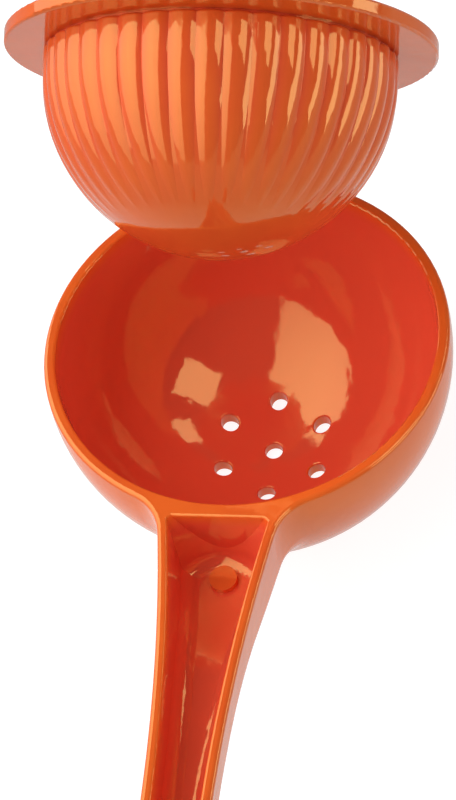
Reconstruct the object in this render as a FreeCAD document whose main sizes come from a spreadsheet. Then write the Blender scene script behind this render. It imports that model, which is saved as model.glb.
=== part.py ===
import FreeCAD, Part
import math
import os

import Sketcher
from FreeCAD import Vector

# Hinged citrus squeezer: two cast arms on one hinge pin, in millimetres.
# The origin is the middle of the flat foot under the bowl, +Z is up, +Y points to the hinge,
# and the handles point to -Y. The press arm is drawn shut and then swung open to its rest place.

SIZES = {
    # bowl of the lower arm
    "rim_radius": 47.0,
    "rim_wall": 2.6,
    "rim_drop": 6.0,
    "base_wall": 3.8,
    "foot_radius": 9.6,
    # juice holes in the bottom of the bowl
    "drain_diameter": 4.4,
    "drain_ring": 13.6,
    "drain_count": 6,
    # both handles, seen from above
    "grip_width": 14.6,
    "handle_reach": 176.0,
    "flare_start": 119.0,
    "flare_radius": 405.0,
    "handle_wall": 2.35,
    "handle_floor": 2.6,
    "handle_draft": 4.0,
    # lower handle, seen from the side
    "grip_depth": 13.0,
    "root_depth": 20.4,
    "root_sweep": 46.0,
    "channel_root_depth": 15.8,
    "channel_land": 0.6,
    "underside_round": 4.5,
    "channel_round": 3.6,
    "scoop_reach": 12.4,
    "scoop_corner": 0.5,
    "scoop_slope": 2.2,
    "root_round": 11.0,
    "hang_hole_diameter": 5.6,
    "pad_diameter": 6.2,
    "pad_height": 1.5,
    "pad_reach": 55.1,
    # hinge
    "axis_reach": 63.6,
    "axis_rise": 1.5,
    "knuckle_radius": 7.0,
    "knuckle_gap": 0.5,
    "ear_thickness": 5.4,
    "tongue_width": 9.4,
    "pin_diameter": 5.0,
    "pin_fit": 0.02,
    "pin_running_fit": 0.06,
    "pin_head_diameter": 9.0,
    "pin_head_height": 1.8,
    "washer_diameter": 11.0,
    "washer_thickness": 0.4,
    "washer_play": 0.05,
    "rest_opening": 61.7,
    # press arm
    "seat_gap": 0.6,
    "flange_radius": 46.3,
    "flange_thickness": 3.2,
    "press_radius": 37.9,
    "press_straight": 5.4,
    "press_wall": 3.0,
    "rib_count": 42,
    "rib_depth": 0.9,
    "rib_start": 0.4,
    "rib_top_round": 0.6,
    "rib_end_angle": 55.0,
    "upper_rise": 6.4,
    "upper_depth": 12.0,
    "upper_sweep": 38.0,
    # small roundings of the castings
    "edge_round": 0.6,
    "lip_round": 1.0,
    "drain_round": 0.4,
}

doc = FreeCAD.newDocument("squeezer")
sheet = doc.addObject("Spreadsheet::Sheet", "sizes")
for row, (alias, value) in enumerate(SIZES.items(), start=1):
    sheet.set(f"A{row}", alias)
    sheet.set(f"B{row}", repr(value))
    sheet.setAlias(f"B{row}", alias)
doc.recompute()


def size(formula):
    """Put the sheet's name before each alias of a formula."""
    words = []
    word = ""
    for sign in formula + " ":
        if sign.isalnum() or sign == "_":
            word += sign
            continue
        words.append(f"sizes.{word}" if word in SIZES else word)
        words.append(sign)
        word = ""
    return "".join(words).strip()


def number(formula):
    """Work out a formula of aliases now."""
    return float(sheet.evalExpression(size(formula)))


def bind(item, prop, formula):
    """Bind a property to a formula of aliases."""
    item.setExpression(prop, size(formula))


def origin_plane(body, role):
    """The body's own plane or axis with this role."""
    return [item for item in body.Origin.OriginFeatures if item.Role == role][0]


def new_body(name):
    """A body whose label names its file."""
    body = doc.addObject("PartDesign::Body", name)
    body.Label = name
    return body


def new_sketch(body, name, role, shift=None):
    """A sketch on one of the body's origin planes, shifted by formulas for x, y and z."""
    sketch = body.newObject("Sketcher::SketchObject", name)
    sketch.AttachmentSupport = [(origin_plane(body, role), "")]
    sketch.MapMode = "FlatFace"
    for axis, formula in (shift or {}).items():
        bind(sketch, f"AttachmentOffset.Base.{axis}", formula)
    doc.recompute()
    return sketch


def place_point(sketch, index, end, across, up):
    """Fix a point of the sketch at two formulas from its origin."""
    for kind, formula, axis in (("DistanceX", across, -2), ("DistanceY", up, -1)):
        if formula == "0":
            sketch.addConstraint(Sketcher.Constraint("PointOnObject", index, end, axis))
            continue
        spot = sketch.addConstraint(Sketcher.Constraint(kind, -1, 1, index, end, number(formula)))
        sketch.setExpression(f"Constraints[{spot}]", size(formula))


def outline(sketch, corners):
    """Draw a closed or open outline.

    Each corner is (across, up, radius, side): radius and side belong to the edge that leaves it.
    A radius of None is a straight edge. Side +1 bends left of the way ahead, -1 right of it.
    """
    spots = [Vector(number(corner[0]), number(corner[1]), 0) for corner in corners]
    count = len(corners)
    heads = []
    for place, corner in enumerate(corners):
        start = spots[place]
        end = spots[(place + 1) % count]
        radius = corner[2] if len(corner) > 2 else None
        if radius is None:
            index = sketch.addGeometry(Part.LineSegment(start, end))
            heads.append((index, 1, 2))
            continue
        side = corner[3]
        chord = end - start
        reach = number(radius)
        normal = Vector(-chord.y, chord.x, 0).normalize() * side
        rise = math.sqrt(max(reach ** 2 - chord.Length ** 2 / 4, 0.0))
        middle = (start + end) * 0.5 + normal * rise
        first, last = (start, end) if side > 0 else (end, start)
        turn_from = math.atan2(first.y - middle.y, first.x - middle.x)
        turn_to = math.atan2(last.y - middle.y, last.x - middle.x)
        circle = Part.Circle(middle, Vector(0, 0, 1), reach)
        index = sketch.addGeometry(Part.ArcOfCircle(circle, turn_from, turn_to))
        heads.append((index, 1, 2) if side > 0 else (index, 2, 1))
        spot = sketch.addConstraint(Sketcher.Constraint("Radius", index, reach))
        sketch.setExpression(f"Constraints[{spot}]", size(radius))
    for place in range(count):
        index, _, tail = heads[place]
        following, head, _ = heads[(place + 1) % count]
        sketch.addConstraint(Sketcher.Constraint("Coincident", index, tail, following, head))
    for place, corner in enumerate(corners):
        index, head, _ = heads[place]
        place_point(sketch, index, head, corner[0], corner[1])
    doc.recompute()


def circle(sketch, across, up, radius):
    """Draw a circle whose centre and radius are formulas."""
    spot = Vector(number(across), number(up), 0)
    index = sketch.addGeometry(Part.Circle(spot, Vector(0, 0, 1), number(radius)))
    place_point(sketch, index, 3, across, up)
    size_spot = sketch.addConstraint(Sketcher.Constraint("Radius", index, number(radius)))
    sketch.setExpression(f"Constraints[{size_spot}]", size(radius))
    doc.recompute()


def feature(body, kind, name, sketch=None, **values):
    """Add a feature; a value in quotes is bound as a formula, any other is set as it is."""
    item = body.newObject(f"PartDesign::{kind}", name)
    if sketch is not None:
        item.Profile = sketch
    for prop, value in values.items():
        if prop.startswith("bind_"):
            bind(item, prop[5:], value)
        else:
            setattr(item, prop, value)
    doc.recompute()
    return item


def edges_where(item, test):
    """Names of the edges of a feature's shape that pass a test."""
    return [f"Edge{place}" for place, edge in enumerate(item.Shape.Edges, start=1) if test(edge)]


def round_edges(body, name, radius, test):
    """Round the edges of the body's last feature that pass a test."""
    base = body.Tip
    names = edges_where(base, test)
    if not names:
        raise ValueError(f"{name}: no edge found")
    item = body.newObject("PartDesign::Fillet", name)
    item.Base = (base, names)
    bind(item, "Radius", radius)
    doc.recompute()
    return item


def flat_at(item, height):
    """Whether an edge or a face lies in the level plane at this height."""
    return abs(item.BoundBox.ZMin - height) < 0.001 and abs(item.BoundBox.ZMax - height) < 0.001


def level_face(body, height):
    """The largest level face of a body at this height."""
    return max((face for face in body.Tip.Shape.Faces if flat_at(face, height)),
               key=lambda face: face.Area)


# formulas that several pieces share, in aliases of the sheet
OUTER_RADIUS = "sqrt(rim_radius^2 + rim_drop^2)"
SPHERE_Z = "sqrt(rim_radius^2 + rim_drop^2 - foot_radius^2)"
RIM_Z = f"({SPHERE_Z} + rim_drop)"
INNER_RADIUS = "(rim_radius - rim_wall)"
INNER_BOTTOM = f"({SPHERE_Z} - {OUTER_RADIUS} + base_wall)"
INNER_CENTRE = f"({INNER_BOTTOM} + {INNER_RADIUS})"
AXIS_Z = f"({RIM_Z} + axis_rise)"
SLOT_WIDTH = "(tongue_width + 2 * washer_thickness + 4 * washer_play)"
HINGE_WIDTH = f"({SLOT_WIDTH} + 2 * ear_thickness)"
FLANGE_TOP = "(seat_gap + flange_thickness)"
UPPER_LOW = "(seat_gap + edge_round)"
UPPER_TOP = f"({UPPER_LOW} + upper_rise + upper_depth)"
RIB_PITCH = "(2 * pi * press_radius / rib_count)"
RIB_RADIUS = f"(({RIB_PITCH}^2 / 4 + rib_depth^2) / (2 * rib_depth))"
CORE_RADIUS = "(press_radius - 1.2 * rib_depth)"
PRESS_CENTRE = "(seat_gap - press_straight)"


def root_half(root_reach, inset):
    """Formula of half the width of a handle at its root."""
    bend = f"(flare_radius + {inset})"
    return (f"(grip_width / 2 - {inset} + {bend}"
            f" - sqrt(({bend})^2 - (flare_start - {root_reach})^2))")


def handle_plan(sketch, root_reach, inset):
    """Draw a handle from above: parallel sides that flare to the root, and a round end."""
    half = f"(grip_width / 2 - {inset})"
    bend = f"(flare_radius + {inset})"
    root = root_half(root_reach, inset)
    end = f"(handle_reach - {inset})"
    turn = f"(-{end} + {half})"
    outline(sketch, [
        (root, f"-{root_reach}", bend, 1),
        (half, "-flare_start"),
        (half, turn, half, -1),
        ("0", f"-{end}", half, -1),
        (f"-{half}", turn),
        (f"-{half}", "-flare_start", bend, 1),
        (f"-{root}", f"-{root_reach}"),
    ])


def sweep_line(start, high, sweep, rise):
    """Corners of a smooth step seen from the side: two equal arcs with level ends."""
    radius = f"((({sweep})^2 + ({rise})^2) / (4 * ({rise})))"
    return [
        (f"-({start})", high, radius, -1),
        (f"-({start} + ({sweep}) / 2)", f"{high} + ({rise}) / 2", radius, 1),
        (f"-({start} + {sweep})", f"{high} + {rise}"),
    ]


def sweep_rise(along, sweep, rise):
    """Formula of the height gained on the first half of such a step, at a way along it."""
    radius = f"((({sweep})^2 + ({rise})^2) / (4 * ({rise})))"
    return f"({radius} - sqrt({radius}^2 - {along}^2))"


def handle_core(name, rim_height, start, floor_line, scooped=False):
    """The core that leaves a handle's channel open: its plan, cut off below its floor line.

    A scooped core narrows downward at its root like a cone, so the channel ends in a scoop.
    """
    core = new_body(name)
    plan = new_sketch(core, f"{name}_plan", "XY_Plane", {"z": rim_height})
    handle_plan(plan, start, "handle_wall")
    feature(core, "Pad", f"{name}_block", plan, Reversed=True,
            bind_Length="root_depth + upper_depth", bind_TaperAngle="-handle_draft")
    side = new_sketch(core, f"{name}_floor", "YZ_Plane")
    outline(side, floor_line)
    feature(core, "Pocket", f"{name}_floor_cut", side, Midplane=True, bind_Length="rim_radius * 2")
    if scooped:
        scoop = new_sketch(core, f"{name}_scoop", "YZ_Plane", {"x": f"-({start} + scoop_reach)"})
        corner = f"(sqrt(scoop_reach^2 + {root_half(start, 'handle_wall')}^2) - scoop_corner)"
        low = f"({rim_height} - channel_root_depth)"
        outline(scoop, [
            ("(scoop_reach - scoop_slope)", low),
            ("2 * rim_radius", low),
            ("2 * rim_radius", rim_height),
            (corner, rim_height),
        ])
        feature(core, "Groove", f"{name}_scoop_cut", scoop, ReferenceAxis=(scoop, ["V_Axis"]),
                Angle=180, Midplane=True)
    top = number(rim_height)
    round_edges(core, f"{name}_rounding", "channel_round",
                lambda edge: edge.BoundBox.ZMax < top - 0.1)
    return core


def lower_arm():
    """The bowl with its channel handle and the two hinge ears, one casting."""
    body = new_body("lower_arm")

    # handle blank, and the line of its underside
    plan = new_sketch(body, "handle_plan", "XY_Plane", {"z": RIM_Z})
    handle_plan(plan, "(rim_radius - 9)", "0")
    feature(body, "Pad", "handle_blank", plan, Reversed=True,
            bind_Length="root_depth + 4", bind_TaperAngle="-handle_draft")
    side = new_sketch(body, "underside_line", "YZ_Plane")
    low = f"({RIM_Z} - root_depth)"
    steps = sweep_line("rim_radius - 1", low, "root_sweep", "(root_depth - grip_depth)")
    outline(side, [("-rim_radius / 2", low)] + steps + [
        ("-(handle_reach + 5)", f"{RIM_Z} - grip_depth"),
        ("-(handle_reach + 5)", f"{low} - 10"),
        ("-rim_radius / 2", f"{low} - 10"),
    ])
    feature(body, "Pocket", "underside", side, Midplane=True, bind_Length="rim_radius * 2")
    rim_z = number(RIM_Z)
    grip_z = number(f"{RIM_Z} - grip_depth")
    round_edges(body, "underside_rounding", "underside_round",
                lambda edge: edge.BoundBox.ZMax < grip_z + 0.5 and edge.BoundBox.YLength > 1)

    # bowl: part of a ball, cut level at the rim and at the foot
    profile = new_sketch(body, "bowl_profile", "XZ_Plane")
    outline(profile, [
        ("0", "0"),
        ("foot_radius", "0", OUTER_RADIUS, 1),
        ("rim_radius", RIM_Z),
        ("0", RIM_Z),
    ])
    feature(body, "Revolution", "bowl", profile, ReferenceAxis=(profile, ["V_Axis"]), Angle=360)
    ball = Vector(0, 0, number(SPHERE_Z))
    outer = number(OUTER_RADIUS)
    round_edges(body, "root_rounding", "root_round",
                lambda edge: root_edge(edge, ball, outer, rim_z))

    # the hollow of the bowl
    hollow = new_sketch(body, "hollow_profile", "XZ_Plane")
    outline(hollow, [
        ("0", INNER_BOTTOM, INNER_RADIUS, 1),
        (INNER_RADIUS, INNER_CENTRE),
        (INNER_RADIUS, f"{RIM_Z} + edge_round"),
        ("0", f"{RIM_Z} + edge_round"),
    ])
    feature(body, "Groove", "hollow", hollow, ReferenceAxis=(hollow, ["V_Axis"]), Angle=360)

    # the channel of the handle, closed at its root by the bowl's own wall
    floor_low = f"({RIM_Z} - channel_root_depth)"
    floor_rise = "(channel_root_depth - grip_depth + handle_floor)"
    start = "(rim_radius + channel_land)"
    floor_steps = sweep_line(start, floor_low, "(root_sweep - 1)", floor_rise)
    core = handle_core("lower_core", RIM_Z, start, [("-rim_radius / 2", floor_low)] + floor_steps + [
        ("-(handle_reach + 5)", f"{floor_low} + {floor_rise}"),
        ("-(handle_reach + 5)", "-20"),
        ("-rim_radius / 2", "-20"),
    ], scooped=True)
    cut = body.newObject("PartDesign::Boolean", "channel")
    cut.setObjects([core])
    cut.Type = "Cut"
    doc.recompute()
    for name, radius, outer in (("rim_rounding", "edge_round", False),
                                ("lip_rounding", "lip_round", True)):
        border = level_face(body, rim_z).OuterWire.Edges
        round_edges(body, name, radius,
                    lambda edge: flat_at(edge, rim_z)
                    and any(edge.isSame(other) for other in border) == outer)

    # round ejector pad on the floor of the channel, near the bowl
    step = sweep_rise("(pad_reach - rim_radius - channel_land)", "(root_sweep - 1)", floor_rise)
    pad = new_sketch(body, "pad_circle", "XY_Plane", {"z": f"{floor_low} + {step} + pad_height"})
    circle(pad, "0", "-pad_reach", "pad_diameter / 2")
    feature(body, "Pad", "ejector_pad", pad, Reversed=True, bind_TaperAngle="handle_draft",
            bind_Length="pad_height + handle_floor / 2")

    # hole in the end of the handle, to hang it up by
    hang = new_sketch(body, "hang_circle", "XY_Plane", {"z": RIM_Z})
    circle(hang, "0", "-(handle_reach - grip_width / 2)", "hang_hole_diameter / 2")
    feature(body, "Pocket", "hang_hole", hang, Type="ThroughAll")

    # juice holes: one in the middle and a ring round it
    middle = new_sketch(body, "drain_middle_circle", "XY_Plane", {"z": SPHERE_Z})
    circle(middle, "0", "0", "drain_diameter / 2")
    feature(body, "Pocket", "drain_middle", middle, Type="ThroughAll")
    ring = new_sketch(body, "drain_ring_circle", "XY_Plane", {"z": SPHERE_Z})
    circle(ring, "0", "drain_ring", "drain_diameter / 2")
    hole = feature(body, "Pocket", "drain_hole", ring, Type="ThroughAll")
    holes = body.newObject("PartDesign::PolarPattern", "drain_holes")
    holes.Originals = [hole]
    holes.Axis = (ring, ["N_Axis"])
    holes.Angle = 360
    bind(holes, "Occurrences", "drain_count")
    body.Tip = holes
    doc.recompute()
    around = number("drain_diameter") * math.pi
    low_z = number(f"{INNER_BOTTOM} + base_wall * 2")
    round_edges(body, "drain_rounding", "drain_round",
                lambda edge: edge.BoundBox.ZMax < low_z and edge.isClosed()
                and abs(edge.Length - around) < around / 5)
    hinge_ears(body)
    return body


def hinge_ears(body):
    """Add the two ears behind the bowl, the slot between them and the bore of the pin."""
    ears = new_sketch(body, "ear_profile", "YZ_Plane")
    root = "(rim_radius - 0.8 * rim_wall)"
    shoulder = "(rim_radius + channel_land)"
    top = tangent_point(shoulder, RIM_Z, AXIS_Z, 1)
    foot = f"({RIM_Z} - 2.4 * knuckle_radius)"
    low = tangent_point(root, foot, AXIS_Z, -1)
    outline(ears, [
        (root, RIM_Z),
        (shoulder, RIM_Z),
        (top[0], top[1], "knuckle_radius", -1),
        ("axis_reach + knuckle_radius", AXIS_Z, "knuckle_radius", -1),
        low,
        (root, foot),
    ])
    feature(body, "Pad", "ears", ears, Midplane=True, bind_Length=HINGE_WIDTH)
    slot = new_sketch(body, "slot_profile", "YZ_Plane")
    reach = "(knuckle_radius + knuckle_gap)"
    web = "(knuckle_radius * 0.45)"
    outline(slot, [
        ("rim_radius - rim_wall", RIM_Z),
        (f"axis_reach - sqrt({reach}^2 - axis_rise^2)", RIM_Z, reach, 1),
        (f"axis_reach - {web}", f"{AXIS_Z} - sqrt({reach}^2 - {web}^2)"),
        (f"axis_reach - {web}", f"{RIM_Z} - 5 * knuckle_radius"),
        ("axis_reach + 2 * knuckle_radius", f"{RIM_Z} - 5 * knuckle_radius"),
        ("axis_reach + 2 * knuckle_radius", f"{RIM_Z} + 3 * knuckle_radius"),
        ("rim_radius - rim_wall", f"{RIM_Z} + 3 * knuckle_radius"),
    ])
    feature(body, "Pocket", "slot", slot, Midplane=True, bind_Length=SLOT_WIDTH)
    bore = new_sketch(body, "bore_circle", "YZ_Plane")
    circle(bore, "axis_reach", AXIS_Z, "pin_diameter / 2 + pin_fit")
    feature(body, "Pocket", "bore", bore, Midplane=True, bind_Length=f"{HINGE_WIDTH} + 2")


def tangent_point(across, up, axis_height, side):
    """Formulas of the point where a line from a given point touches the knuckle circle."""
    along = f"({across} - axis_reach)"
    rise = f"({up} - {axis_height})"
    square = f"({along}^2 + {rise}^2)"
    share = f"(knuckle_radius^2 / {square})"
    lift = f"({side} * knuckle_radius * sqrt({square} - knuckle_radius^2) / {square})"
    return (f"axis_reach + {share} * {along} + {lift} * {rise}",
            f"{axis_height} + {share} * {rise} - {lift} * {along}")


def root_edge(edge, ball, outer, rim_z):
    """Whether an edge lies on the bowl's ball where the handle runs into it."""
    spots = [edge.valueAt(edge.FirstParameter + (edge.LastParameter - edge.FirstParameter) * part)
             for part in (0.1, 0.5, 0.9)]
    if flat_at(edge, rim_z) or flat_at(edge, 0):
        return False
    if any(spot.y > -outer / 2 for spot in spots):
        return False
    return all(abs(spot.distanceToPoint(ball) - outer) < 0.01 for spot in spots)


def upper_arm():
    """The ribbed press with its flange, handle and hinge tongue, one casting, drawn shut."""
    body = new_body("upper_arm")
    root = "(flange_radius - 9)"

    # handle blank, its underside and its top line
    plan = new_sketch(body, "upper_plan", "XY_Plane", {"z": f"{UPPER_TOP} + 1"})
    handle_plan(plan, root, "-1 * tan(handle_draft)")
    feature(body, "Pad", "upper_blank", plan, Reversed=True,
            bind_Length=f"{UPPER_TOP} + 1", bind_TaperAngle="-handle_draft")
    side = new_sketch(body, "upper_underside_line", "YZ_Plane")
    outline(side, [("-flange_radius / 2", UPPER_LOW)]
            + sweep_line("flange_radius - 1", UPPER_LOW, "upper_sweep", "upper_rise") + [
        ("-(handle_reach + 5)", f"{UPPER_LOW} + upper_rise"),
        ("-(handle_reach + 5)", "-10"),
        ("-flange_radius / 2", "-10"),
    ])
    feature(body, "Pocket", "upper_underside", side, Midplane=True, bind_Length="rim_radius * 2")
    grip_z = number(f"{UPPER_LOW} + upper_rise")
    round_edges(body, "upper_underside_rounding", "underside_round",
                lambda edge: edge.BoundBox.ZMax < grip_z + 0.5 and edge.BoundBox.YLength > 1)
    top_line = new_sketch(body, "upper_top_line", "YZ_Plane")
    start_z = f"({FLANGE_TOP} - edge_round)"
    outline(top_line, [("-flange_radius / 2", start_z)]
            + sweep_line(root, start_z, "upper_sweep", f"({UPPER_TOP} - {start_z})") + [
        ("-(handle_reach + 5)", UPPER_TOP),
        ("-(handle_reach + 5)", f"{UPPER_TOP} + 10"),
        ("-flange_radius / 2", f"{UPPER_TOP} + 10"),
    ])
    feature(body, "Pocket", "upper_top", top_line, Midplane=True, bind_Length="rim_radius * 2")
    top_z = number(UPPER_TOP)
    round_edges(body, "upper_lip_rounding", "lip_round",
                lambda edge: flat_at(edge, top_z) and edge.BoundBox.YLength > 1)

    # flange and the smooth core of the press
    profile = new_sketch(body, "press_profile", "XZ_Plane")
    cap = f"({PRESS_CENTRE} - 1.2 * rib_depth / sin(rib_end_angle))"
    outline(profile, [
        ("0", f"{cap} - {CORE_RADIUS}", CORE_RADIUS, 1),
        (CORE_RADIUS, cap),
        (CORE_RADIUS, "seat_gap"),
        ("flange_radius - edge_round", "seat_gap", "edge_round", 1),
        ("flange_radius", "seat_gap + edge_round"),
        ("flange_radius", f"{FLANGE_TOP} - edge_round", "edge_round", 1),
        ("flange_radius - edge_round", FLANGE_TOP),
        ("0", FLANGE_TOP),
    ])
    feature(body, "Revolution", "press_core", profile, ReferenceAxis=(profile, ["V_Axis"]),
            Angle=360)
    press_ribs(body)

    # tongue that swings between the ears
    tongue = new_sketch(body, "tongue_profile", "YZ_Plane")
    neck = CORE_RADIUS
    top = tangent_point(neck, start_z, "axis_rise", 1)
    outline(tongue, [
        (neck, UPPER_LOW),
        (f"axis_reach - sqrt(knuckle_radius^2 - (axis_rise - {UPPER_LOW})^2)", UPPER_LOW,
         "knuckle_radius", 1),
        ("axis_reach", "axis_rise - knuckle_radius", "knuckle_radius", 1),
        ("axis_reach + knuckle_radius", "axis_rise", "knuckle_radius", 1),
        top,
        (neck, start_z),
    ])
    feature(body, "Pad", "tongue", tongue, Midplane=True, bind_Length="tongue_width")
    bore = new_sketch(body, "tongue_bore_circle", "YZ_Plane")
    circle(bore, "axis_reach", "axis_rise", "pin_diameter / 2 + pin_running_fit")
    feature(body, "Pocket", "tongue_bore", bore, Midplane=True, bind_Length="tongue_width + 2")

    # hollow of the press, open at the top
    hollow = new_sketch(body, "press_hollow_profile", "XZ_Plane")
    inside = "(press_radius - rib_depth - press_wall)"
    outline(hollow, [
        ("0", f"{PRESS_CENTRE} - {inside}", inside, 1),
        (inside, PRESS_CENTRE),
        (inside, f"{FLANGE_TOP} - edge_round", "edge_round", -1),
        (f"{inside} + edge_round", FLANGE_TOP),
        (f"{inside} + edge_round", f"{FLANGE_TOP} + edge_round"),
        ("0", f"{FLANGE_TOP} + edge_round"),
    ])
    feature(body, "Groove", "press_hollow", hollow, ReferenceAxis=(hollow, ["V_Axis"]), Angle=360)

    # the channel of the handle
    floor_steps = sweep_line("flange_radius - 1", FLANGE_TOP, "upper_sweep", "upper_rise")
    core = handle_core("upper_core", f"{UPPER_TOP} + 1", root,
                       [("-flange_radius / 2", FLANGE_TOP)] + floor_steps + [
        ("-(handle_reach + 5)", f"{FLANGE_TOP} + upper_rise"),
        ("-(handle_reach + 5)", "-20"),
        ("-flange_radius / 2", "-20"),
    ])
    cut = body.newObject("PartDesign::Boolean", "upper_channel")
    cut.setObjects([core])
    cut.Type = "Cut"
    doc.recompute()
    return body


def press_ribs(body):
    """Cover the press with round ribs that run down and fade out before its middle."""
    spine_radius = f"(press_radius - {RIB_RADIUS})"
    head_z = "(seat_gap - rib_start - 2 * rib_top_round)"
    tip = f"-{spine_radius} * cos(rib_end_angle + 3)"
    path = new_sketch(body, "rib_path", "YZ_Plane")
    top = Vector(-number(spine_radius), number(head_z), 0)
    bend = Vector(-number(spine_radius), number(PRESS_CENTRE), 0)
    line = path.addGeometry(Part.LineSegment(top, bend))
    centre = Vector(0, number(PRESS_CENTRE), 0)
    ring = Part.Circle(centre, Vector(0, 0, 1), number(spine_radius))
    turn = math.radians(number("rib_end_angle + 3"))
    arc = path.addGeometry(Part.ArcOfCircle(ring, math.pi, math.pi + turn))
    place_point(path, line, 1, f"-{spine_radius}", head_z)
    place_point(path, line, 2, f"-{spine_radius}", PRESS_CENTRE)
    path.addConstraint(Sketcher.Constraint("Coincident", arc, 1, line, 2))
    place_point(path, arc, 3, "0", PRESS_CENTRE)
    spot = path.addConstraint(Sketcher.Constraint("DistanceX", -1, 1, arc, 2, number(tip)))
    path.setExpression(f"Constraints[{spot}]", size(tip))
    doc.recompute()
    section = new_sketch(body, "rib_section", "XY_Plane", {"z": head_z})
    section.AttachmentOffset.Rotation = FreeCAD.Rotation(Vector(0, 0, 1), -90)
    circle(section, spine_radius, "0", RIB_RADIUS)
    rib = body.newObject("PartDesign::AdditivePipe", "rib")
    rib.Profile = section
    rib.Spine = (path, ["Edge1", "Edge2"])
    doc.recompute()
    head_profile = new_sketch(body, "rib_head_profile", "YZ_Plane", {"x": f"-{spine_radius}"})
    outline(head_profile, [
        ("0", head_z),
        (RIB_RADIUS, head_z),
        (RIB_RADIUS, f"{head_z} + rib_top_round", "rib_top_round", 1),
        (f"{RIB_RADIUS} - rib_top_round", f"{head_z} + 2 * rib_top_round"),
        ("0", f"{head_z} + 2 * rib_top_round"),
    ])
    head = feature(body, "Revolution", "rib_head", head_profile,
                   ReferenceAxis=(head_profile, ["V_Axis"]), Angle=360)
    ribs = body.newObject("PartDesign::PolarPattern", "ribs")
    ribs.Originals = [rib, head]
    ribs.Axis = (section, ["N_Axis"])
    ribs.Angle = 360
    bind(ribs, "Occurrences", "rib_count")
    body.Tip = ribs
    doc.recompute()


def swing_open(body):
    """Turn the press arm about the hinge from shut to its rest place, and lift it to the rim."""
    body.Placement = FreeCAD.Placement(Vector(0, 0, 0), FreeCAD.Rotation(Vector(-1, 0, 0), 10))
    bind(body, "Placement.Rotation.Angle", "rest_opening")
    bind(body, "Placement.Base.y",
         "axis_reach * (1 - cos(rest_opening)) - axis_rise * sin(rest_opening)")
    bind(body, "Placement.Base.z",
         f"{RIM_Z} + axis_rise * (1 - cos(rest_opening)) + axis_reach * sin(rest_opening)")
    doc.recompute()


def on_hinge_axis(body, along="0"):
    """Lay a turned piece, drawn round +Z, along the hinge axis."""
    body.Placement = FreeCAD.Placement(Vector(0, 0, 0), FreeCAD.Rotation(Vector(0, 1, 0), 90))
    bind(body, "Placement.Base.x", along)
    bind(body, "Placement.Base.y", "axis_reach")
    bind(body, "Placement.Base.z", AXIS_Z)
    doc.recompute()


def hinge_pin():
    """The steel rivet of the hinge, with a domed head at each end."""
    body = new_body("hinge_pin")
    profile = new_sketch(body, "pin_profile", "XZ_Plane")
    head = "(pin_head_diameter / 2)"
    dome = f"(({head}^2 + pin_head_height^2) / (2 * pin_head_height))"
    face = f"({HINGE_WIDTH} / 2)"
    outline(profile, [
        ("0", f"-({face} + pin_head_height)", dome, 1),
        (head, f"-{face}"),
        ("pin_diameter / 2", f"-{face}"),
        ("pin_diameter / 2", face),
        (head, face, dome, 1),
        ("0", f"{face} + pin_head_height"),
    ])
    feature(body, "Revolution", "pin", profile, ReferenceAxis=(profile, ["V_Axis"]), Angle=360)
    on_hinge_axis(body)
    return body


def hinge_washer(name, side):
    """A thin washer beside the tongue; side is +1 at +X and -1 at -X."""
    body = new_body(name)
    ring = new_sketch(body, f"{name}_ring", "XY_Plane")
    circle(ring, "0", "0", "washer_diameter / 2")
    circle(ring, "0", "0", "pin_diameter / 2 + pin_running_fit")
    feature(body, "Pad", f"{name}_disc", ring, Midplane=True, bind_Length="washer_thickness")
    on_hinge_axis(body, f"{side} * (tongue_width / 2 + washer_play + washer_thickness / 2)")
    return body


def main():
    """Build the pieces, check them and write one file for each."""
    pieces = [lower_arm(), upper_arm(), hinge_pin(),
              hinge_washer("hinge_washer_left", -1), hinge_washer("hinge_washer_right", 1)]
    swing_open(pieces[1])
    doc.recompute()
    for item in doc.Objects:
        if "Invalid" in item.State or "Error" in item.State:
            raise RuntimeError(f"{item.Name} is {item.State}")
    os.makedirs("parts", exist_ok=True)
    for piece in pieces:
        if piece.Shape.isNull() or not piece.Shape.isValid():
            raise RuntimeError(f"{piece.Label} has no valid shape")
        piece.Shape.exportStep(f"parts/{piece.Label}.step")
        print(piece.Label, round(piece.Shape.Volume, 1))


main()
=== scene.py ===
"""Hinged citrus squeezer in glossy orange enamel, dressed for its picture.

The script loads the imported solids, gives each casting its enamel and each hinge piece its steel,
and sets a pale studio with the camera of the photograph. All lengths are in metres.
"""

import logging
import math
from dataclasses import dataclass, field
from enum import Enum

import bpy
from mathutils import Matrix, Vector

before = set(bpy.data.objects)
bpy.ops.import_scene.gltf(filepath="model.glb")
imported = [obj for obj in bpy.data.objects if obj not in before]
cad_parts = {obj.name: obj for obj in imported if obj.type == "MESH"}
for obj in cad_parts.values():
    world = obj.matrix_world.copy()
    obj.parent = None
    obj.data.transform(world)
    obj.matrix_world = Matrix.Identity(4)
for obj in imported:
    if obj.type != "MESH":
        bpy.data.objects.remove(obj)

LOG = logging.getLogger("squeezer")

Colour = tuple[float, float, float]
Point = tuple[float, float, float]
Span = tuple[float, float]
Socket = bpy.types.NodeSocket


class Slot(Enum):
    """Material slots of the record that the finishes belong to."""

    ENAMEL = "orange_enamel"
    PIN = "pin_steel"
    WASHER = "washer_steel"


@dataclass(frozen=True)
class Grain:
    """A noise pattern's fineness in features per metre and its octaves of finer noise."""

    scale: float
    detail: float


@dataclass(frozen=True)
class Relief:
    """A noise pattern pressed into a surface, with its height in metres and its share."""

    grain: Grain
    height: float
    strength: float


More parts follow.
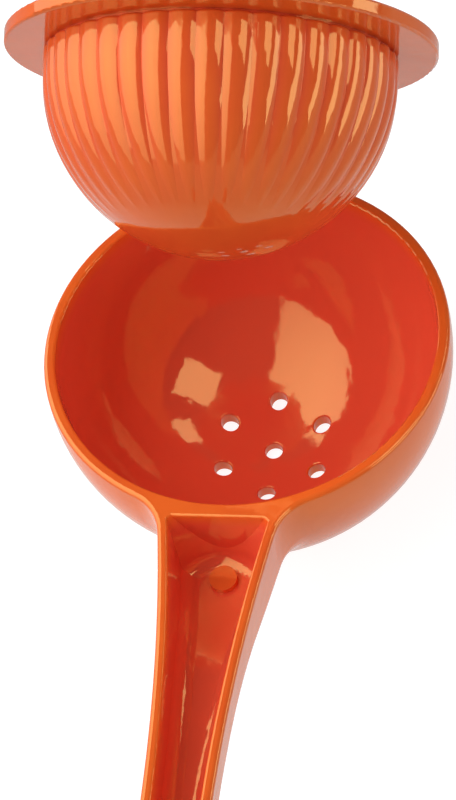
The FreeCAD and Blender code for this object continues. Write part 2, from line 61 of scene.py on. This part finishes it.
class NodeBoard:
    """A material's node tree with short calls that add and link its nodes."""

    def __init__(self, name: str) -> None:
        """Start an empty material.

        Args:
            name: Name of the new material.
        """
        self.material = bpy.data.materials.new(name)
        self.material.use_nodes = True
        self.tree = self.material.node_tree
        self.tree.nodes.clear()
        self.output = self.tree.nodes.new("ShaderNodeOutputMaterial")

    def add(self, kind: str, **settings: object) -> bpy.types.Node:
        """Add a node.

        Args:
            kind: Type name after "ShaderNode".
            settings: Properties of the node, set as they are.

        Returns:
            The new node.
        """
        node = self.tree.nodes.new(f"ShaderNode{kind}")
        for key, value in settings.items():
            setattr(node, key, value)
        return node

    def link(self, source: Socket, target: Socket) -> None:
        """Join two sockets.

        Args:
            source: Output socket.
            target: Input socket.
        """
        self.tree.links.new(source, target)

    def object_coordinates(self) -> Socket:
        """Return the output that gives the place on the object.

        Returns:
            The object coordinates' output.
        """
        return self.add("TexCoord").outputs["Object"]

    def noise(self, where: Socket, grain: Grain) -> Socket:
        """Add a noise texture.

        Args:
            where: Coordinates that it reads.
            grain: How fine it is.

        Returns:
            The noise value's output.
        """
        node = self.add("TexNoise")
        node.inputs["Scale"].default_value = grain.scale
        node.inputs["Detail"].default_value = grain.detail
        self.link(where, node.inputs["Vector"])
        return node.outputs["Fac"]

    def between(self, value: Socket, low: float, high: float,
                bottom: float = 0.0, top: float = 1.0) -> Socket:
        """Spread a value from one range onto another, clamped.

        Args:
            value: The value to spread.
            low: Start of its own range.
            high: End of its own range.
            bottom: Result at the start.
            top: Result at the end.

        Returns:
            The new value's output.
        """
        node = self.add("MapRange")
        self.link(value, node.inputs["Value"])
        for key, number in (("From Min", low), ("From Max", high), ("To Min", bottom), ("To Max", top)):
            node.inputs[key].default_value = number
        return node.outputs["Result"]

    def split(self, vector: Socket) -> bpy.types.bpy_prop_collection:
        """Take a vector apart.

        Args:
            vector: The vector's output.

        Returns:
            Its X, Y and Z outputs.
        """
        node = self.add("SeparateXYZ")
        self.link(vector, node.inputs["Vector"])
        return node.outputs

    def distance(self, where: Socket, point: Point) -> Socket:
        """Measure the distance from a point.

        Args:
            where: Coordinates that it reads.
            point: The point, in metres.

        Returns:
            The distance's output.
        """
        node = self.add("VectorMath", operation="DISTANCE")
        self.link(where, node.inputs[0])
        node.inputs[1].default_value = point
        return node.outputs["Value"]

    def times(self, first: Socket, second: Socket) -> Socket:
        """Multiply two values.

        Args:
            first: Output of one value.
            second: Output of the other.

        Returns:
            The product's output.
        """
        node = self.add("Math", operation="MULTIPLY")
        self.link(first, node.inputs[0])
        self.link(second, node.inputs[1])
        return node.outputs["Value"]

    def mix(self, factor: Socket, first: Colour | Socket, second: Colour) -> Socket:
        """Blend two colours.

        Args:
            factor: 0 gives the first colour and 1 the second.
            first: Colour, or an output that gives it, at 0.
            second: Colour at 1.

        Returns:
            The blended colour's output.
        """
        node = self.add("Mix", data_type="RGBA")
        self.link(factor, node.inputs["Factor"])
        if isinstance(first, tuple):
            node.inputs["A"].default_value = (*first, 1.0)
        else:
            self.link(first, node.inputs["A"])
        node.inputs["B"].default_value = (*second, 1.0)
        return node.outputs["Result"]

    def bump(self, where: Socket, relief: Relief, under: Socket | None = None) -> Socket:
        """Add a bump.

        Args:
            where: Coordinates that it reads.
            relief: The pattern and its height.
            under: Normal of the bump below this one.

        Returns:
            The bumped normal's output.
        """
        pattern = self.noise(where, relief.grain)
        node = self.add("Bump")
        node.inputs["Distance"].default_value = relief.height
        node.inputs["Strength"].default_value = relief.strength
        self.link(pattern, node.inputs["Height"])
        if under is not None:
            self.link(under, node.inputs["Normal"])
        return node.outputs["Normal"]


class WorldBoard(NodeBoard):
    """The world's node tree, with a call that finds the directions between two upright planes."""

    def __init__(self, world: bpy.types.World) -> None:
        """Take over a world's nodes.

        Args:
            world: World with nodes.
        """
        self.tree = world.node_tree
        self.way = self.add("TexCoord").outputs["Generated"]

    def past(self, azimuth: float, softness: float) -> Socket:
        """Find the directions on one side of an upright plane.

        Args:
            azimuth: Where the plane's own side points, in degrees, 0 towards -Y and 90 towards +X.
            softness: Width of the blend, as a sine.

        Returns:
            The output that is 1 on that side of the plane and 0 on the other.
        """
        turn = math.radians(azimuth)
        node = self.add("VectorMath", operation="DOT_PRODUCT")
        self.link(self.way, node.inputs[0])
        node.inputs[1].default_value = (math.sin(turn), -math.cos(turn), 0.0)
        return self.between(node.outputs["Value"], -softness, softness)


@dataclass(frozen=True)
class EnamelFinish:
    """Glossy fired enamel over a casting.

    The reflection seen head on is warm, as in the fired glass; it turns white where it grazes.
    Painted shade: the colour is a deeper red inside the bowl and the channel and between the ribs.
    """

    colour: Colour = (0.83, 0.130, 0.018)
    uneven: Colour = (0.78, 0.100, 0.016)
    # painted shade: the deeper red painted into the hollows and between the press's ribs
    painted_shade: Colour = (0.80, 0.090, 0.042)
    glint: Colour = (1.0, 0.72, 0.26)
    ior: float = 2.0
    roughness: Span = (0.045, 0.08)
    drift: Grain = Grain(60.0, 4.0)
    drift_span: Span = (0.35, 0.7)
    cloud: Grain = Grain(900.0, 2.0)
    cloud_span: Span = (0.3, 0.7)
    ripple: Relief = Relief(Grain(230.0, 1.0), 0.00008, 0.9)
    peel: Relief = Relief(Grain(1100.0, 1.0), 0.000008, 0.6)
    rim_height: float = 0.0524
    rim_fade: Span = (0.004, 0.0005)
    upward_span: Span = (-0.12, 0.02)
    outward_limit: float = 0.003
    press_middle: Point = (0.0, 0.0279, 0.1069)
    press_radius: float = 0.0379
    press_fade: Span = (0.0008, 0.0018)
    rib_depth: float = 0.0009
    rib_shares: Span = (0.9, 0.2)
    pad_top: Point = (0.0, -0.0551, 0.0384)
    pad_radii: Span = (0.0029, 0.0034)

    def material(self) -> bpy.types.Material:
        """Build the enamel.

        Returns:
            The enamel's material.
        """
        board = NodeBoard(Slot.ENAMEL.value)
        where = board.object_coordinates()
        skin = board.add("BsdfPrincipled")
        skin.inputs["IOR"].default_value = self.ior
        skin.inputs["Specular Tint"].default_value = (*self.glint, 1.0)
        drift = board.between(board.noise(where, self.drift), *self.drift_span)
        unshaded = board.mix(drift, self.colour, self.uneven)
        # painted shade: the base colour turns a deeper red in the hollows and between the ribs
        board.link(board.mix(self.painted_shade_mask(board, where), unshaded, self.painted_shade),
                   skin.inputs["Base Color"])
        cloud = board.noise(where, self.cloud)
        board.link(board.between(cloud, *self.cloud_span, *self.roughness), skin.inputs["Roughness"])
        ripple = board.bump(where, self.ripple)
        board.link(board.bump(where, self.peel, ripple), skin.inputs["Normal"])
        board.link(skin.outputs["BSDF"], board.output.inputs["Surface"])
        return board.material

    def painted_shade_mask(self, board: NodeBoard, where: Socket) -> Socket:
        """Find where painted shade goes: in the lower casting's hollows and around the ribs.

        Args:
            board: The enamel's nodes.
            where: Place on the object.

        Returns:
            The output that is 1 where the painted shade is full and 0 where there is none.
        """
        both = board.add("Math", operation="MAXIMUM")
        board.link(self.shade_in_hollows(board, where), both.inputs[0])
        board.link(self.shade_around_ribs(board, where), both.inputs[1])
        return both.outputs["Value"]

    def shade_around_ribs(self, board: NodeBoard, where: Socket) -> Socket:
        """Find the press's ball, with painted shade strong between the ribs and weak on them.

        Args:
            board: The enamel's nodes.
            where: Place on the object.

        Returns:
            The output that is highest between the ribs and 0 away from the ball.
        """
        far = board.distance(where, self.press_middle)
        valley = self.press_radius - self.rib_depth
        depth = board.between(far, valley, self.press_radius, *self.rib_shares)
        inner, outer = (self.press_radius + part for part in self.press_fade)
        ball = board.between(far, inner, outer, 1.0, 0.0)
        return board.times(depth, ball)

    def shade_in_hollows(self, board: NodeBoard, where: Socket) -> Socket:
        """Find the hollows below the rim, where the surface looks up or towards the middle, for painted
        shade.

        The raised pad in the channel isn't one of them.

        Args:
            board: The enamel's nodes.
            where: Place on the object.

        Returns:
            The output that is 1 in the hollows and 0 outside.
        """
        place = board.split(where)
        facing = board.split(board.add("TexCoord").outputs["Normal"])
        low, high = (self.rim_height - part for part in self.rim_fade)
        below = board.between(place["Z"], low, high, 1.0, 0.0)
        upward = board.between(facing["Z"], *self.upward_span)
        outward = board.times(place["X"], facing["X"])
        inward = board.between(outward, 0.0, self.outward_limit, 1.0, 0.0)
        off_pad = board.between(board.distance(where, self.pad_top), *self.pad_radii)
        return board.times(board.times(below, upward), board.times(inward, off_pad))


@dataclass(frozen=True)
class SteelFinish:
    """Turned steel with fine marks."""

    slot: Slot
    roughness: Span
    colour: Colour = (0.60, 0.60, 0.58)
    worn_colour: Colour = (0.48, 0.48, 0.464)
    wear: Grain = Grain(700.0, 4.0)
    cloud: Grain = Grain(2600.0, 2.0)
    noise_span: Span = (0.3, 0.7)
    marks: Relief = Relief(Grain(4000.0, 2.0), 0.00001, 0.5)

    def material(self) -> bpy.types.Material:
        """Build the steel.

        Returns:
            The steel's material.
        """
        board = NodeBoard(self.slot.value)
        where = board.object_coordinates()
        skin = board.add("BsdfPrincipled")
        skin.inputs["Metallic"].default_value = 1.0
        worn = board.between(board.noise(where, self.wear), *self.noise_span)
        board.link(board.mix(worn, self.colour, self.worn_colour), skin.inputs["Base Color"])
        cloud = board.noise(where, self.cloud)
        board.link(board.between(cloud, *self.noise_span, *self.roughness), skin.inputs["Roughness"])
        board.link(board.bump(where, self.marks), skin.inputs["Normal"])
        board.link(skin.outputs["BSDF"], board.output.inputs["Surface"])
        return board.material


def dress(node: str, material: bpy.types.Material) -> None:
    """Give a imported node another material.

    Args:
        node: Name of the node.
        material: The material for all of its slots.
    """
    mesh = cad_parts[node].data
    for place in range(len(mesh.materials)):
        mesh.materials[place] = material
    if not mesh.materials:
        mesh.materials.append(material)
    LOG.info("dressed %s with %s", node, material.name)


@dataclass
class Castings:
    """Both enamelled castings: the bowl arm and the press arm."""

    finish: EnamelFinish = field(default_factory=EnamelFinish)
    nodes: tuple[str, ...] = ("lower_arm", "upper_arm")

    def build(self) -> None:
        """Dress the castings with enamel."""
        enamel = self.finish.material()
        for node in self.nodes:
            dress(node, enamel)


@dataclass
class Hinge:
    """The rivet and the two washers."""

    pin: SteelFinish = SteelFinish(Slot.PIN, (0.22, 0.40))
    washer: SteelFinish = SteelFinish(Slot.WASHER, (0.32, 0.50))

    def build(self) -> None:
        """Dress the hinge's steel pieces."""
        dress("hinge_pin", self.pin.material())
        washer = self.washer.material()
        for side in ("left", "right"):
            dress(f"hinge_washer_{side}", washer)


@dataclass(frozen=True)
class Panel:
    """A soft light: a rectangle that shines at the object; its level is its own brightness."""

    name: str
    place: Vector
    width: float
    height: float
    level: float
    target: Vector = field(default_factory=lambda: Vector((0.0, 0.0, 0.06)))

    def build(self) -> None:
        """Hang the light."""
        lamp = bpy.data.lights.new(self.name, "AREA")
        lamp.shape = "RECTANGLE"
        lamp.size = self.width
        lamp.size_y = self.height
        lamp.energy = self.level * math.pi * self.width * self.height
        holder = bpy.data.objects.new(self.name, lamp)
        holder.location = self.place
        aim = self.target - self.place
        holder.rotation_euler = aim.to_track_quat("-Z", "Y").to_euler()
        bpy.context.scene.collection.objects.link(holder)


@dataclass(frozen=True)
class SoftWall:
    """A bright wall around a part of the studio.

    It runs from one azimuth to another, in degrees, 0 towards -Y and 90 towards +X. It is darker
    near its start and brighter overhead.
    """

    start: float = -12.0
    end: float = -131.0
    low_level: float = 1.45
    high_level: float = 3.2
    start_share: float = 0.75
    edge: float = 0.02
    start_fade: float = 0.6

    def light(self, sky: WorldBoard, surround: float) -> Socket:
        """Find the brightness of every direction, with the wall in it.

        Args:
            sky: The world's nodes.
            surround: Brightness away from the wall.

        Returns:
            The brightness's output.
        """
        quarter = 90.0
        after_start = sky.past(self.start - quarter, self.edge)
        before_end = sky.past(self.end + quarter, self.edge)
        inside = sky.times(after_start, before_end)
        height = sky.between(sky.split(sky.way)["Z"], 0.0, 1.0, self.low_level, self.high_level)
        near_start = sky.past(self.start - quarter, self.start_fade)
        share = sky.between(near_start, 0.5, 1.0, self.start_share, 1.0)
        ramp = sky.times(height, share)
        mixed = sky.add("Mix", data_type="FLOAT")
        sky.link(inside, mixed.inputs["Factor"])
        mixed.inputs["A"].default_value = surround
        sky.link(ramp, mixed.inputs["B"])
        return mixed.outputs["Result"]


@dataclass
class Studio:
    """Pale floor, a bright wall on the left and three panels on the right."""

    floor_size: float = 6.0
    floor_paint: Colour = (0.30, 0.30, 0.30)
    surround: float = 0.09
    floor_seen: float = 0.86
    floor_near: float = 0.55
    floor_far: float = 0.10
    floor_reach: Span = (0.08, 0.20)
    wall: SoftWall = SoftWall()
    panels: list[Panel] = field(default_factory=lambda: [
        Panel("panel_right", Vector((0.667, -0.070, 0.800)), 0.43, 0.46, 2.5),
        Panel("panel_back_right", Vector((0.600, 0.489, 0.680)), 0.26, 0.22, 2.3),
        Panel("panel_side", Vector((0.950, -0.100, 0.220)), 0.90, 0.34, 3.0),
    ])

    def build(self) -> None:
        """Lay the floor, light the world and hang the panels."""
        self.lay_floor()
        self.light_world()
        for panel in self.panels:
            panel.build()
        bpy.context.scene.view_settings.view_transform = "Standard"

    def lay_floor(self) -> None:
        """Lay a floor that the camera sees as white, with the object's soft shadow.

        The object sees it as a lit table that falls dark further out.
        """
        board = NodeBoard("studio_floor")
        paint = board.add("BsdfDiffuse")
        paint.inputs["Color"].default_value = (*self.floor_paint, 1.0)
        glow = board.add("Emission")
        path = board.add("LightPath")
        reach = board.distance(board.object_coordinates(), (0.0, 0.0, 0.0))
        table = board.between(reach, *self.floor_reach, self.floor_near, self.floor_far)
        seen = board.add("Mix", data_type="FLOAT")
        board.link(path.outputs["Is Camera Ray"], seen.inputs["Factor"])
        board.link(table, seen.inputs["A"])
        seen.inputs["B"].default_value = self.floor_seen
        board.link(seen.outputs["Result"], glow.inputs["Strength"])
        both = board.add("AddShader")
        board.link(paint.outputs["BSDF"], both.inputs[0])
        board.link(glow.outputs["Emission"], both.inputs[1])
        board.link(both.outputs["Shader"], board.output.inputs["Surface"])
        bpy.ops.mesh.primitive_plane_add(size=self.floor_size, location=(0.0, 0.0, 0.0))
        floor = bpy.context.active_object
        floor.name = "studio_floor"
        floor.data.materials.append(board.material)

    def light_world(self) -> None:
        """Light the object from the wall, and show white where the camera looks past it."""
        world = bpy.data.worlds.new("studio_world")
        world.use_nodes = True
        bpy.context.scene.world = world
        sky = WorldBoard(world)
        path = sky.add("LightPath")
        seen = sky.add("Mix", data_type="FLOAT")
        sky.link(path.outputs["Is Camera Ray"], seen.inputs["Factor"])
        sky.link(self.wall.light(sky, self.surround), seen.inputs["A"])
        seen.inputs["B"].default_value = 1.0
        back = sky.tree.nodes["Background"]
        back.inputs["Color"].default_value = (1.0, 1.0, 1.0, 1.0)
        sky.link(seen.outputs["Result"], back.inputs["Strength"])


@dataclass(frozen=True)
class PhotoCamera:
    """The photograph's camera, found from the rim, the flange and the holes."""

    azimuth: float = 20.648
    elevation: float = 55.046
    roll: float = -16.170
    distance: float = 0.4305
    aim: Vector = field(default_factory=lambda: Vector((-0.001412, -0.017532, 0.0524)))
    focal_px: float = 1918.1
    frame_height_px: float = 800.0
    sensor_mm: float = 36.0
    nearest: float = 0.01

    def build(self) -> None:
        """Place the camera and make it the scene's own."""
        turn = math.radians(self.azimuth)
        rise = math.radians(self.elevation)
        lean = math.radians(self.roll)
        level_back = Vector((math.sin(turn), -math.cos(turn), 0.0)) * math.cos(rise)
        back = level_back + Vector((0.0, 0.0, math.sin(rise)))
        level_right = (-back).cross(Vector((0.0, 0.0, 1.0))).normalized()
        level_up = level_right.cross(-back)
        right = level_right * math.cos(lean) + level_up * math.sin(lean)
        up = level_up * math.cos(lean) - level_right * math.sin(lean)
        place = self.aim + back * self.distance
        lens = bpy.data.cameras.new("photo_camera")
        lens.sensor_width = self.sensor_mm
        lens.lens = self.focal_px * self.sensor_mm / self.frame_height_px
        lens.clip_start = self.nearest
        camera = bpy.data.objects.new("photo_camera", lens)
        camera.matrix_world = Matrix((
            (right.x, up.x, back.x, place.x),
            (right.y, up.y, back.y, place.y),
            (right.z, up.z, back.z, place.z),
            (0.0, 0.0, 0.0, 1.0),
        ))
        bpy.context.scene.collection.objects.link(camera)
        bpy.context.scene.camera = camera


def main() -> None:
    """Build the squeezer's looks, its studio and its camera, in that order."""
    logging.basicConfig(level=logging.INFO, format="%(name)s: %(message)s")
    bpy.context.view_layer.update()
    Castings().build()
    Hinge().build()
    Studio().build()
    PhotoCamera().build()


if __name__ == "__main__":
    main()
